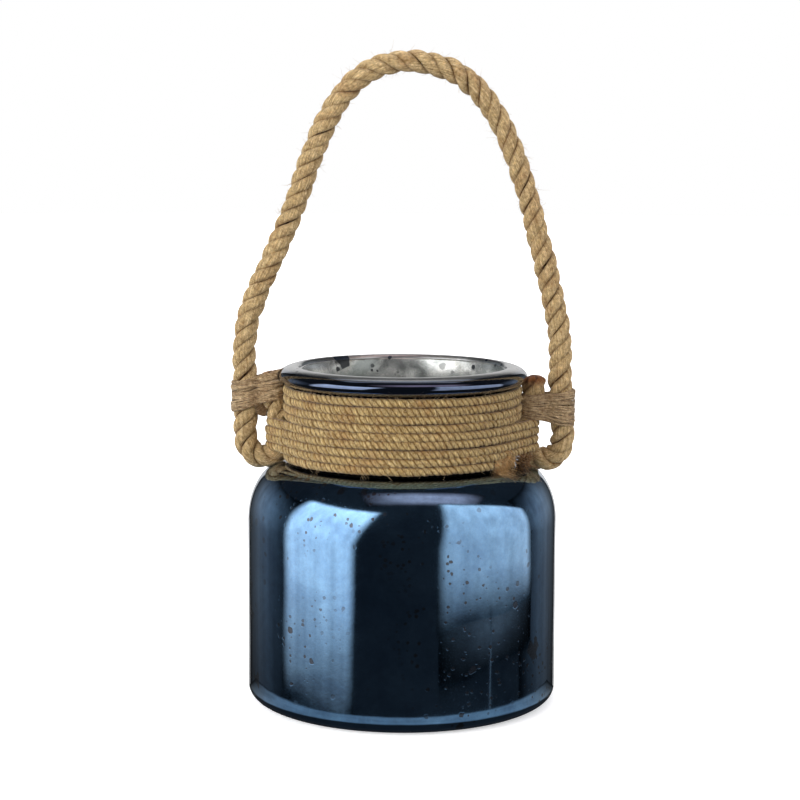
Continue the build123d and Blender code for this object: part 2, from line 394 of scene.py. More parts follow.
def ramp(tree, factor, stops):
    made = tree.nodes.new("ShaderNodeValToRGB")
    tree.links.new(factor, made.inputs["Fac"])
    elements = made.color_ramp.elements
    while len(elements) < len(stops):
        elements.new(0.5)
    for element, (position, colour) in zip(elements, stops):
        element.position = position
        element.color = (*colour, 1)
    return made.outputs["Color"]


def feed(tree, sockets, values):
    """Links or sets each socket, as its value is another socket or a number."""
    for socket, value in zip(sockets, values):
        if isinstance(value, bpy.types.NodeSocket):
            tree.links.new(value, socket)
        else:
            socket.default_value = value


def mix_colour(tree, factor, a, b, blend="MIX"):
    made = tree.nodes.new("ShaderNodeMix")
    made.data_type = "RGBA"
    made.blend_type = blend
    feed(tree, (made.inputs[0], made.inputs[6], made.inputs[7]), (factor, a, b))
    return made.outputs[2]


def maths(tree, operation, a, b=0.0, clamp=False):
    made = tree.nodes.new("ShaderNodeMath")
    made.operation = operation
    made.use_clamp = clamp
    feed(tree, made.inputs, (a, b))
    return made.outputs[0]


def noise(tree, coordinates, scale, detail=3.0, roughness=0.55, distortion=0.0):
    made = node(tree, "ShaderNodeTexNoise", Scale=scale, Detail=detail, Roughness=roughness,
                Distortion=distortion)
    tree.links.new(coordinates, made.inputs["Vector"])
    return made.outputs["Fac"]


def scaled(tree, coordinates, scale):
    made = node(tree, "ShaderNodeMapping", Scale=scale)
    tree.links.new(coordinates, made.inputs["Vector"])
    return made.outputs["Vector"]


def new_material(name):
    material = bpy.data.materials.new(name)
    material.use_nodes = True
    tree = material.node_tree
    return material, tree, tree.nodes["Principled BSDF"]


def jute(name, dark, middle, pale, brown, along=260.0, across=26.0, bump=0.00022,
         groove_shade_colour=(0.26, 0.19, 0.12)):
    """Jute fibre: fine streaks along the thread, browner patches, with painted shade in the grooves between plies
    and a painted highlight on their crests.
    """
    material, tree, shader = new_material(name)
    thread = node(tree, "ShaderNodeUVMap", uv_map="thread").outputs["UV"]
    place = tree.nodes.new("ShaderNodeTexCoord").outputs["Object"]
    fine = noise(tree, scaled(tree, thread, (along, across, 1.0)), 1.0, detail=4.0, roughness=0.65, distortion=0.4)
    coarse = noise(tree, scaled(tree, thread, (along * 0.22, across * 0.45, 1.0)), 1.0, detail=2.0)
    patch = noise(tree, place, 95.0, roughness=0.6)
    speckle = noise(tree, place, 620.0, roughness=0.7)
    streak = maths(tree, "ADD", maths(tree, "MULTIPLY", fine, 0.62), maths(tree, "MULTIPLY", coarse, 0.38))
    colours = ramp(tree, streak, [(0.34, dark), (0.48, middle), (0.62, pale)])
    reddish = ramp(tree, patch, [(0.50, (0, 0, 0)), (0.72, (1, 1, 1))])
    toned = mix_colour(tree, maths(tree, "MULTIPLY", reddish, 0.45), colours, (*brown, 1))
    # flecks: the darker ones are the fibre's own tone, the brighter ones are painted glints
    flecks_and_glints = ramp(tree, speckle, [(0.34, (1.36, 1.33, 1.24)), (0.48, (1, 1, 1)), (0.66, (0.52, 0.43, 0.33))])
    toned = mix_colour(tree, 0.8, toned, flecks_and_glints, "MULTIPLY")
    # painted light: the attribute crest, 0 in a groove and 1 on a crest, darkens the grooves as painted shade and
    # lightens the crests as a painted highlight
    painted_light_by_crest = node(tree, "ShaderNodeAttribute", attribute_name="crest").outputs["Fac"]
    depth = ramp(tree, painted_light_by_crest, [(0.0, groove_shade_colour), (0.55, (0.86, 0.83, 0.78)), (1.0, (1.14, 1.12, 1.08))])
    toned = mix_colour(tree, 1.0, toned, depth, "MULTIPLY")
    tip = node(tree, "ShaderNodeAttribute", attribute_name="tip").outputs["Fac"]
    toned = mix_colour(tree, tip, toned, (0.34, 0.15, 0.045, 1), "MULTIPLY")
    tree.links.new(toned, shader.inputs["Base Color"])
    shader.inputs["Roughness"].default_value = 0.82
    shader.inputs["Specular IOR Level"].default_value = 0.32
    shader.inputs["Sheen Weight"].default_value = 0.22
    shader.inputs["Sheen Roughness"].default_value = 0.5
    raised = node(tree, "ShaderNodeBump", Strength=0.9, Distance=bump)
    tree.links.new(streak, raised.inputs["Height"])
    tree.links.new(raised.outputs["Normal"], shader.inputs["Normal"])
    return material


def speckles(tree, place, scale, share, size, seed_offset, power=1.4, wobbly=0.30):
    """Irregular spots: a share of the cells of a cell pattern, each with its own size. 1 in a spot."""
    moved = node(tree, "ShaderNodeMapping", Location=(seed_offset, seed_offset * 0.7, 0))
    wobble = node(tree, "ShaderNodeTexNoise", Scale=scale * 2.2, Detail=2.0)
    tree.links.new(place, wobble.inputs["Vector"])
    shift = node(tree, "ShaderNodeVectorMath", operation="MULTIPLY_ADD")
    shift.inputs[1].default_value = (wobbly / scale,) * 3
    tree.links.new(wobble.outputs["Color"], shift.inputs[0])
    tree.links.new(place, shift.inputs[2])
    tree.links.new(shift.outputs["Vector"], moved.inputs["Vector"])
    cells = node(tree, "ShaderNodeTexVoronoi", Scale=scale, Randomness=1.0)
    tree.links.new(moved.outputs["Vector"], cells.inputs["Vector"])
    split = tree.nodes.new("ShaderNodeSeparateColor")
    tree.links.new(cells.outputs["Color"], split.inputs["Color"])
    chosen = maths(tree, "LESS_THAN", split.outputs["Red"], share)
    radius = maths(tree, "MULTIPLY", maths(tree, "POWER", split.outputs["Green"], power), size)
    inside = maths(tree, "SUBTRACT", radius, cells.outputs["Distance"])
    soft = maths(tree, "MULTIPLY", inside, 30.0, clamp=True)
    return maths(tree, "MULTIPLY", soft, chosen)


def mercury_glass(name, tint, tint_b, spot, silver, dull=0.02, coat=1.0, metal=1.0, rim=None):
    """Coloured glass silvered from behind. silver, where the attribute inner is 1, shows at the lip."""
    material, tree, shader = new_material(name)
    place = tree.nodes.new("ShaderNodeTexCoord").outputs["Object"]
    inner = node(tree, "ShaderNodeAttribute", attribute_name="inner").outputs["Fac"]
    cloud = noise(tree, place, 38.0, detail=5.0, roughness=0.62, distortion=0.6)
    mottle = noise(tree, place, 260.0, detail=4.0, roughness=0.7)
    coloured = ramp(tree, cloud, [(0.36, tint_b), (0.62, tint)])
    if rim:
        height = tree.nodes.new("ShaderNodeSeparateXYZ")
        tree.links.new(place, height.inputs["Vector"])
        above = maths(tree, "SUBTRACT", height.outputs["Z"], BODY_TOP + SHOULDER_Z - 1.5 * MM)
        coloured = mix_colour(tree, maths(tree, "DIVIDE", above, 2 * MM, clamp=True), coloured, (*rim, 1))
    coloured = mix_colour(tree, inner, coloured, (*silver, 1))
    grain = ramp(tree, mottle, [(0.34, (0.80, 0.81, 0.82)), (0.66, (1.06, 1.05, 1.04))])
    coloured = mix_colour(tree, 0.8, coloured, grain, "MULTIPLY")
    patches = ramp(tree, noise(tree, place, 17.0, detail=2.0), [(0.47, (0, 0, 0)), (0.58, (1, 1, 1))])
    blotches = speckles(tree, place, scale=50.0, share=0.75, size=0.27, seed_offset=0.13, power=1.2, wobbly=0.75)
    large = speckles(tree, place, scale=125.0, share=1.0, size=0.27, seed_offset=0.21)
    large = maths(tree, "MULTIPLY", large, maths(tree, "ADD", patches, 0.5, clamp=True))
    small = speckles(tree, place, scale=340.0, share=1.0, size=0.38, seed_offset=0.37)
    small = maths(tree, "MULTIPLY", small, patches)
    spots = maths(tree, "MAXIMUM", maths(tree, "MAXIMUM", large, blotches), small)
    final = mix_colour(tree, spots, coloured, (*spot, 1))
    tree.links.new(final, shader.inputs["Base Color"])
    rough = maths(tree, "ADD", maths(tree, "MULTIPLY", spots, 0.14), maths(tree, "MULTIPLY", cloud, 0.12))
    rough = maths(tree, "ADD", rough, maths(tree, "MULTIPLY", inner, 0.22))
    tree.links.new(maths(tree, "ADD", rough, dull), shader.inputs["Roughness"])
    shader.inputs["Metallic"].default_value = metal
    shader.inputs["Coat Weight"].default_value = coat
    shader.inputs["Coat Roughness"].default_value = 0.02
    shader.inputs["Coat IOR"].default_value = 1.5
    raised = node(tree, "ShaderNodeBump", Strength=0.25, Distance=0.00012)
    uneven = maths(tree, "ADD", maths(tree, "MULTIPLY", mottle, 0.4), maths(tree, "MULTIPLY", spots, -0.6))
    tree.links.new(uneven, raised.inputs["Height"])
    tree.links.new(raised.outputs["Normal"], shader.inputs["Normal"])
    return material


# ---------------------------------------------------------------- jar
def arc(middle, across, up, first, last, steps):
    turns = np.radians(np.linspace(first, last, steps))
    return [(middle[0] + across * math.cos(t), middle[1] + up * math.sin(t)) for t in turns]


def line_points(start, end, steps):
    return [tuple(p) for p in np.linspace(start, end, steps + 1)[1:-1]]


def outside_profile():
    """Radius and height down the outside, from the middle of the base to the crest of the rim."""
    under_rim = math.degrees(math.asin((NECK_R - RIM_R) / RIM_OUT)) - 90
    heel = arc((BODY_R - HEEL_R, HEEL_Z), HEEL_R, HEEL_Z, -90, 0, 14)
    shoulder = arc((BODY_R - SHOULDER_R, BODY_TOP), SHOULDER_R, SHOULDER_Z, 0, 90, 30)
    fillet_z = BODY_TOP + SHOULDER_Z + NECK_FILLET
    fillet = arc((NECK_R + NECK_FILLET, fillet_z), NECK_FILLET, NECK_FILLET, 270, 180, 5)
    bead = arc((RIM_R, RIM_Z), RIM_OUT, RIM_UP, under_rim, 90, 30)
    base = line_points((0, 0), heel[0], 8)
    wall = line_points(heel[-1], shoulder[0], 26)
    neck = line_points(fillet[-1], bead[0], 8)
    return base + heel + wall + shoulder + fillet + neck + bead


def inside_profile(inset, lip):
    """Radius and height from the crest of the rim down the inside to the middle of the floor."""
    body = BODY_R - WALL - inset
    neck = NECK_INNER_R - inset
    floor = FLOOR + inset
    turn_r = NECK_FILLET * 2
    across = body - neck - turn_r
    up = SHOULDER_Z - WALL - inset
    lip_arc = arc((RIM_R, JAR_TOP - LIP_DOWN), RIM_IN + inset, LIP_DOWN, 90, 180, 16)[1 if lip else 5:]
    turn = arc((neck + turn_r, BODY_TOP + up + turn_r), turn_r, turn_r, 180, 270, 8)
    shoulder = arc((body - across, BODY_TOP), across, up, 90, 0, 22)
    heel = arc((body - HEEL_R, floor + HEEL_Z), HEEL_R, HEEL_Z, 0, -90, 10)
    neck_wall = line_points(lip_arc[-1], turn[0], 8)
    body_wall = line_points(shoulder[-1], heel[0], 16)
    middle = line_points(heel[-1], (0, floor), 8)
    return lip_arc + neck_wall + turn + shoulder[1:] + body_wall + heel + middle


def waviness(turns, heights):
    """How far the blown wall lies in from true, up to about 0.2 mm, in slow ripples."""
    ripple = (
        np.sin(2 * turns + 1.0 + 18 * heights)
        + 0.7 * np.sin(3 * turns - 2.0 - 41 * heights)
        + 0.5 * np.sin(7 * turns + 0.6 + 95 * heights)
        + 0.3 * np.sin(11 * turns + 2.1 - 160 * heights)
    )
    return 0.10 * MM * (ripple / 2.5 + 1)


def lathe(name, profile, around, poles, inner_from=None, wavy=1.0):
    """A turned closed surface. profile is (radius, height); poles are the heights of its two ends.

    inner_from is the pair of places in the profile between which the attribute inner goes from 0 to 1.
    """
    profile = np.array(profile)
    turns = full_turn(around)
    radius = profile[:, :1] - wavy * waviness(turns[None, :], profile[:, 1:])
    points = np.stack(
        [radius * np.cos(turns), radius * np.sin(turns), np.repeat(profile[:, 1:], around, axis=1)],
        axis=-1,
    )
    count = len(profile)
    faces = tube_grid(count, around, 0, closed_ends=False)
    vertices = np.concatenate([points.reshape(-1, 3), [[0, 0, poles[0]], [0, 0, poles[1]]]])
    low, high = count * around, count * around + 1
    last = (count - 1) * around
    faces += [(low, (j + 1) % around, j) for j in range(around)]
    faces += [(high, last + j, last + (j + 1) % around) for j in range(around)]
    inner = np.zeros(len(vertices))
    if inner_from is not None:
        share = np.clip((np.arange(count) - inner_from[0]) / (inner_from[1] - inner_from[0]), 0, 1)
        inner[: count * around] = np.repeat(eased(share), around)
        inner[high] = 1
    return new_object(name, vertices, faces, attributes={"inner": inner})


def jar(material):
    outside = outside_profile()
    inside = inside_profile(0.0, lip=True)
    crest = len(outside)
    piece = lathe("jar_body", outside + inside, 288, (0, FLOOR), inner_from=(crest - 9, crest - 6.5))
    fixed_piece(piece, material, "jar_glass", "glass_jar")


def lining(material):
    gap = 0.04 * MM
    hidden = inside_profile(gap, lip=False)
    shown = inside_profile(SILVER, lip=False)
    profile = shown[::-1] + hidden
    piece = lathe("jar_silvering", profile, 224, (FLOOR + SILVER, FLOOR + gap), wavy=0.8)
    fixed_piece(piece, material, "silvering", "silver_lining")


def glass_radius(heights):
    """The jar's outside radius at these heights, with the turns that lie under the rope."""
    z = np.asarray(heights)
    radius = np.full_like(z, NECK_R)
    radius = np.where(z < BODY_TOP, BODY_R, radius)
    share = np.clip((z - BODY_TOP) / SHOULDER_Z, 0, 1)
    on_shoulder = (z >= BODY_TOP) & (z < BODY_TOP + SHOULDER_Z)
    shoulder = BODY_R - SHOULDER_R + SHOULDER_R * np.sqrt(1 - share**2)
    radius = np.where(on_shoulder, shoulder, radius)
    bead = RIM_OUT * np.sqrt(np.clip(1 - ((z - RIM_Z) / RIM_UP) ** 2, 0, 1))
    radius = np.where(np.abs(z - RIM_Z) < RIM_UP, np.maximum(radius, RIM_R + bead), radius)
    under = (z > level_height(UPPER_LEVELS) - TWINE_R) & (z < RIM_Z)
    under |= np.abs(z - level_height(TWINE_LEVELS)) < TWINE_R
    radius = np.where(under, np.maximum(radius, NECK_R + TWINE_BULGE), radius)
    return np.where(z > JAR_TOP, 0.0, radius)


def level_height(level):
    return TWINE_BOTTOM + TWINE_R + (TWINE_LEVELS - level) * TWINE_PITCH


# ---------------------------------------------------------------- twine
def held_radius(turns):
    """Radius of the turns that pass outside the rope's tails, at +X and -X, at these angles."""
    leave = math.acos((TWINE_LINE_R - TAIL_HOLD_R) / TAIL_X)
    meet = math.atan2(TAIL_HOLD_R * math.sin(leave), TAIL_X + TAIL_HOLD_R * math.cos(leave))
    off = np.abs((turns + math.pi / 2) % math.pi - math.pi / 2)
    straight = TWINE_LINE_R / np.cos(leave - off)
    rounded = TAIL_X * np.cos(off) + np.sqrt(np.maximum(TAIL_HOLD_R**2 - (TAIL_X * np.sin(off)) ** 2, 0))
    radius = np.where(off < meet, rounded, straight)
    return np.where(off < leave, radius, TWINE_LINE_R)


def twine_line():
    """The twine's own line, from its start under the rim to its cut end, and the level at each point."""
    steps_per_turn = 720
    last_turn = TWINE_LEVELS * TAU + TWINE_END_ANGLE
    count = int((last_turn - STEP_TO) / TAU * steps_per_turn)
    turns = np.linspace(STEP_TO, last_turn, count)
    whole = np.floor((turns - TWINE_END_ANGLE) / TAU)
    into = turns - whole * TAU
    share = np.clip((into - STEP_FROM) / (STEP_TO - STEP_FROM), 0, 1)
    level = whole + eased(share)
    level[-1] = TWINE_LEVELS
    at = turns * TWINE_LINE_R
    at = at - at[0]
    weight = np.clip(level - UPPER_LEVELS, 0, 1) * np.clip(TWINE_LEVELS - level, 0, 1)
    radius = TWINE_LINE_R + (held_radius(turns) - TWINE_LINE_R) * weight
    radius = radius + 0.10 * MM * slow_noise(at, 0.035)
    height = level_height(level) + 0.22 * MM * slow_noise(at, 0.04)
    return np.stack([radius * np.cos(turns), radius * np.sin(turns), height], axis=1), level


def ply_section(angles, plies, offset, ply_r):
    """Outline of round plies laid together: the distance from the middle at each angle."""
    off = (angles + math.pi / plies) % (TAU / plies) - math.pi / plies
    return offset * np.cos(off) + np.sqrt(ply_r**2 - (offset * np.sin(off)) ** 2)


def twine_tube(points, lay_start):
    """Three-ply twine along a line, pressed flat against the turns above and below it."""
    around, plies = 30, 3
    offset, ply_r = 0.60 * MM, 1.36 * MM  # of each ply's middle from the twine's, and its own radius
    stretch, flat = 1.22, 0.512 * TWINE_PITCH  # stretched upward, then cut flat where two turns meet
    points, at = even_line(points, 0.5 * MM)
    _, normals, across = line_frames(points)
    lay_length = TWINE_LAY * (1 + 0.10 * slow_noise(at, 0.03))
    lay = lay_start + np.cumsum(at[1] / lay_length) * TAU
    angles = full_turn(around)
    section = ply_section(angles, plies, offset, ply_r)
    thick = (1 + 0.04 * slow_noise(at, 0.02)) * np.interp(at, [0, 1.5 * MM, 9 * MM], [0.25, 0.6, 1.0])
    ply_of = np.floor((angles / TAU * plies + 0.5) % plies).astype(int)
    swell = np.stack([0.13 * slow_noise(at, 0.006) for _ in range(plies)], axis=1)
    yarn_turn = 12 * angles[None, :] + 5 * lay[:, None] + 2 * slow_noise(at, 0.01)[:, None]
    yarn = 1 + 0.028 * np.cos(yarn_turn)
    radius = section[None, :] * thick[:, None] * yarn * (1 + swell[:, ply_of])
    spin = angles[None, :] + lay[:, None]
    upward = np.clip(stretch * radius * np.cos(spin), -flat, flat)
    outward = radius * np.sin(spin)
    ring = rings_round(points, upward, outward, normals, across)
    # painted light: crest carries shade painted into the twine's colour, darker between the plies and where a turn
    # presses on its neighbours, lighter on the ply crests
    crest = np.clip((section - section.min()) / (section.max() - section.min()), 0, 1) ** 0.7
    shade_where_packed = 1 - 0.75 * np.clip(np.abs(upward) / (TWINE_PITCH * 0.5), 0, 1) ** 4
    crest = crest[None, :] * shade_where_packed * (0.90 + 0.10 * np.cos(yarn_turn))
    uv = thread_uv(at[:, None], angles[None, :] / TAU - 0.16 * lay[:, None])
    return ring, uv, {"crest": crest, "tip": np.zeros((1, 1))}


def twine(material):
    line, level = twine_line()
    groups = (
        ("twine_upper", level <= UPPER_LEVELS + 0.5, "neck_twine_upper"),
        ("twine_middle", (level > UPPER_LEVELS + 0.5) & (level <= TWINE_LEVELS - 0.5), "neck_twine_middle"),
        ("twine_lower", level > TWINE_LEVELS - 0.5, "neck_twine_lower"),
    )
    at = np.concatenate([[0], np.cumsum(np.linalg.norm(np.diff(line, axis=0), axis=1))])
    for name, chosen, node_name in groups:
        index = np.flatnonzero(chosen)
        first, last = max(index[0] - 1, 0), index[-1]
        tube = twine_tube(line[first : last + 1], at[first] / TWINE_LAY * TAU)
        fixed_piece(join_tubes(name, [tube]), material, "twine", node_name)
    return line


# ---------------------------------------------------------------- fibres
def fibre(root, direction, bend, length, thick, steps=6, around=3):
    """A thin bent fibre that tapers to its end."""
    share = np.linspace(0, 1, steps)[:, None]
    points = root + direction * length * share + bend * length * share**2
    _, normals, across = line_frames(points, bend + np.array([0.01, 0.02, 0.03]))  # a fibre may have no bend
    radius = thick * (1 - 0.75 * share)
    turns = full_turn(around)
    ring = rings_round(points, radius * np.cos(turns), radius * np.sin(turns), normals, across)
    uv = thread_uv(share * length, turns[None, :] / TAU)
    return ring, uv, {"crest": np.ones((1, 1)), "tip": np.zeros((1, 1))}


def stray_fibres(name, line, surface_r, count, shortest, longest, outward=None):
    """Loose fibres that stand off a thread here and there. outward gives the side that is open at a point."""
    ahead, normals, across = line_frames(line)
    tubes = []
    for _ in range(count):
        i = int(rng.integers(2, len(line) - 2))
        turn = rng.uniform(0, TAU)
        out = normals[i] * math.cos(turn) + across[i] * math.sin(turn)
        if outward is not None and out @ outward(line[i]) < 0.1:
            out = -out
        way = 1 if rng.random() < 0.5 else -1
        direction = unit(0.85 * out + way * rng.uniform(0.5, 1.2) * ahead[i] + 0.2 * rng.normal(size=3))
        bend = 0.5 * rng.normal(size=3) + 0.2 * out
        bend = bend - ahead[i] * (bend @ ahead[i])
        length = rng.uniform(shortest, longest) * rng.uniform(0.5, 1.0)
        tubes.append(fibre(line[i] + out * surface_r * 0.9, direction, 0.6 * bend, length,
                           rng.uniform(*FIBRE_R) * MM))
    return join_tubes(name, tubes)


# ---------------------------------------------------------------- rope
def route_line(points):
    """Points along the rope's smooth line."""
    data = bpy.data.curves.new("rope_route", "CURVE")
    data.dimensions = "3D"
    spline = data.splines.new("NURBS")
    spline.points.add(len(points) - 1)
    for place, point in zip(spline.points, points):
        place.co = (*point, 1)
    spline.order_u = 3
    spline.use_endpoint_u = True
    data.resolution_u = 24
    obj = bpy.data.objects.new("rope_route", data)
    mesh = bpy.data.meshes.new_from_object(obj)
    line = np.array([tuple(v.co) for v in mesh.vertices])
    bpy.data.meshes.remove(mesh)
    bpy.data.objects.remove(obj)
    bpy.data.curves.remove(data)
    return line


def moved_out(points, factor):
    """The points with their distances from the jar's axis multiplied."""
    moved = points.copy()
    moved[..., :2] *= factor[..., None]
    return moved


def pressed(points):
    """Moves what would lie in the glass or in the turns behind the rope out to their surface."""
    radius = np.hypot(points[..., 0], points[..., 1])
    limit = glass_radius(points[..., 2]) + TOUCH_GAP
    grow = np.where(radius < limit, limit / np.maximum(radius, MM), 1.0)
    return moved_out(points, grow)


def held_down(points, from_end):
    """Squeezes a tail flat where turns of twine pass over it."""
    radius = np.hypot(points[..., 0], points[..., 1])
    high, low = level_height(UPPER_LEVELS + 0.5), level_height(UPPER_LEVELS + MIDDLE_LEVELS + 0.5)
    z = points[..., 2]
    under = np.clip((z - low) / (2 * MM), 0, 1) * np.clip((high - z) / (2 * MM), 0, 1)
    under = under * (from_end < 42 * MM)[:, None]
    limit = TAIL_X + TAIL_HOLD_R - 0.8 * TWINE_R
    shrink = np.where(radius > limit, (limit / radius) * under + (1 - under), 1.0)
    return moved_out(points, shrink)


def rope(material):
    """Three strands, each filling its third of the rope, with yarns that run nearly straight along it."""
    line, at = even_line(route_line(ROPE_ROUTE), 0.8 * MM)
    _, normals, across = line_frames(line, (0.0, 1.0, 0.0))
    strands, crest_points, yarns = 3, 44, 30
    half = math.pi / strands
    depth = 0.25  # of the grooves between the strands
    lay_length = ROPE_LAY * (1 + 0.08 * slow_noise(at, 0.11))
    lay = np.cumsum(at[1] / lay_length) * TAU
    from_end = np.minimum(at, at[-1] - at)
    end_round = np.sqrt(np.clip(1 - (1 - np.clip(from_end / (3.4 * MM), 0, 1)) ** 2, 0.05, 1))
    tip = np.clip(1 - (from_end - 2.0 * MM) / (5.0 * MM), 0, 1)
    tip = np.where(at < at[-1] / 2, 0.55 * tip, tip)
    thick = ROPE_R * np.interp(line[:, 2] / MM, ROPE_THIN_Z, ROPE_THIN)
    # a strand's outline is its face, crest_points wide, and three points inside the rope
    off = np.linspace(-half * 0.975, half * 0.975, crest_points)
    outline_off = np.concatenate([off, [half * 0.9, 0.0, -half * 0.9]])
    outer = 1 - depth * (np.abs(off) / half) ** 2.4
    outline_r = np.concatenate([outer, [0.42, 0.10, 0.42]])
    shown = np.concatenate([np.ones(crest_points), np.zeros(3)])
    tubes = []
    for strand in range(strands):
        turn = lay + strand / strands * TAU + 0.13 * slow_noise(at, 0.018)
        swell = 1 + 0.04 * slow_noise(at, 0.03) + 0.03 * slow_noise(at, 0.008)
        skew = 0.16 * slow_noise(at, 0.02)
        spin = outline_off[None, :] + turn[:, None]
        drift = 1.6 * slow_noise(at, 0.035)[:, None] - 0.25 * turn[:, None]
        strength = np.clip(0.8 + 0.25 * slow_noise(at, 0.012), 0.4, 1.0)[:, None]
        yarn_turn = (spin * yarns + drift) / 2
        ridge = np.abs(np.cos(yarn_turn)) ** 0.8
        lump = 1 + skew[:, None] * (outline_off / half)[None, :] * 0.5
        frayed = 1 + 0.14 * tip[:, None] * np.cos(yarn_turn * 0.66 + strand)
        radius = (thick * 1.01 * swell * end_round)[:, None] * outline_r[None, :] * lump * frayed
        radius = radius * (1 - shown * 0.075 * (1 - ridge))
        ring = rings_round(line, radius * np.cos(spin), radius * np.sin(spin), normals, across)
        # painted shade: each strand's face darkens towards the grooves at its edges, lighter on the yarn ridges
        painted_light_share = np.clip(1 - strength * (np.abs(outline_off) / half)[None, :] ** 3.2, 0, 1) * shown
        crest = painted_light_share * (0.34 + 0.66 * ridge)
        ring = held_down(pressed(ring), from_end)
        tubes.append((ring, thread_uv(at[:, None], spin / TAU), {"crest": crest, "tip": tip[:, None]}))
    piece = join_tubes("rope_handle", tubes)
    piece.data.materials.append(material)
    fold_piece(piece)
    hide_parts("rope_arch", "rope_eye_left", "rope_eye_right")
    return line


def fold_piece(piece):
    """Bakes the piece's placement into its mesh."""
    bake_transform(piece)


# ---------------------------------------------------------------- seizings
def wrap_line(leg, tail, low_side, tail_side, layer, pinch):
    """One turn round the standing leg and the tail: in plan a loop with two round ends."""
    side = 1 if tail[0] > leg[0] else -1
    leg_r, tail_r = ROPE_R + layer, ROPE_R * 0.93 + layer
    half = np.linspace(-math.pi / 2, math.pi / 2, 40)
    at_tail = [(tail[0] + side * tail_r * math.cos(t), tail_r * math.sin(t)) for t in half]
    at_leg = [(leg[0] - side * leg_r * math.cos(t), -leg_r * math.sin(t)) for t in half]
    outline = np.array(at_tail + at_leg + at_tail[:1])
    points = even_line(np.column_stack([outline, np.zeros(len(outline))]), WRAP_STEP)[0]
    middle = (leg[0] + tail[0]) / 2
    span = abs(leg[0] - tail[0]) / 2 + leg_r
    toward = side * (points[:, 0] - middle) / span
    turn = np.linspace(0, TAU, len(points))
    phase = rng.uniform(0, TAU, 2)
    wander = 0.35 * MM * np.sin(2 * turn + phase[0]) + 0.18 * MM * np.sin(5 * turn + phase[1])
    points[:, 1] *= 1 - pinch * np.exp(-((toward / 0.22) ** 2))
    points[:, 2] = low_side + (tail_side - low_side) * (toward + 1) / 2 + wander
    points = np.roll(points[:-1], int(rng.integers(len(points) - 1)), axis=0)
    return np.concatenate([points, points[:1]])


def wrap_tube(points, thick, shade):
    """A flattish bundle of fibres along a loop, twisted a little, whose two ends meet."""
    around, plies = 12, 2
    _, normals, across = line_frames(points)
    turns = full_turn(around)
    at = np.arange(len(points)) * WRAP_STEP
    twist = at / (6.5 * MM) * TAU / plies + rng.uniform(0, TAU)
    swell = 1 + 0.16 * slow_noise(at, 0.008)
    lobes = 1 + 0.10 * np.cos(plies * (turns[None, :] - twist[:, None]))
    strands = 1 + 0.05 * np.cos(7 * turns[None, :] - 3 * twist[:, None])
    radius = thick * swell[:, None] * lobes * strands
    ring = rings_round(points, radius * np.cos(turns) * 1.2, radius * np.sin(turns) * 0.95, normals, across)
    # painted light: crest lightens the tops of the lobes and darkens the sides where turns lie against each other as
    # painted shade; shade sets each turn's tone, at random for the wraps and low for the crevice bundle
    crest = shade * (0.55 + 0.45 * np.clip(lobes * strands - 0.9, 0, 0.2) * 5)
    crest = crest * (0.15 + 0.85 * np.abs(np.sin(turns)) ** 0.8)
    uv = thread_uv(at[:, None], turns[None, :] / TAU - 0.3 * twist[:, None])
    return pressed(ring), uv, {"crest": crest, "tip": np.zeros((1, 1))}


def rope_place(line, height, side, inner):
    """Where the rope's leg or its tail crosses a height."""
    near = line[(np.sign(line[:, 0]) == side) & (np.abs(line[:, 2] - height) < 1.2 * MM)]
    distance = np.abs(near[:, 0])
    chosen = near[distance < EYE_SPLIT_X] if inner else near[distance >= EYE_SPLIT_X]
    return chosen.mean(axis=0)


def seizing(name, side, line, material, node_name, turns, thick, leg_span, tail_span, fill=None):
    """Turns of fibre that bind a tail to its leg, and a bundle of fibre over fill in the crevice below them,
    darkened as painted shade.

    The spans are the low and the high end on the leg, on the tail and of the bundle. side is -1 or 1, as x.
    """
    height = (sum(leg_span) + sum(tail_span)) / 4
    leg = rope_place(line, height, side, False)
    tail = rope_place(line, height, side, True)
    tubes = []
    for i in range(turns):
        share = (i + 0.5) / turns
        on_leg = leg_span[0] + (leg_span[1] - leg_span[0]) * share
        on_tail = tail_span[0] + (tail_span[1] - tail_span[0]) * share
        points = wrap_line(leg, tail, on_leg, on_tail, 0.30 * MM, 0.30)
        tubes.append(wrap_tube(points, thick * rng.uniform(0.9, 1.15), rng.uniform(0.55, 0.95)))
    for _ in range(turns // 2):
        share = rng.uniform(0.05, 0.95, 2)
        on_leg = leg_span[0] + (leg_span[1] - leg_span[0]) * share[0]
        on_tail = tail_span[0] + (tail_span[1] - tail_span[0]) * (0.6 * share[0] + 0.4 * share[1])
        points = wrap_line(leg, tail, on_leg, on_tail, 0.30 * MM + thick, 0.28)
        tubes.append(wrap_tube(points, thick * rng.uniform(0.45, 0.8), rng.uniform(0.6, 1.0)))
    if fill:
        low, high = fill
        count = int((high - low) / WRAP_STEP)
        middle = (leg[0] + tail[0]) / 2 - side * 0.6 * MM
        for shift in (-1.1, 1.1):
            heights = np.linspace(low + 0.4 * abs(shift) * MM, high, count)
            points = np.array([[middle + 0.4 * MM * math.sin(9 * i / count), shift * MM, z]
                               for i, z in enumerate(heights)])
            # painted shade: the bundle's shade of 0.3 darkens it to stand for the shade in the crevice
            tubes.append(wrap_tube(points, 2.9 * MM, 0.3))
    fixed_piece(join_tubes(name, tubes), material, "seizing", node_name)


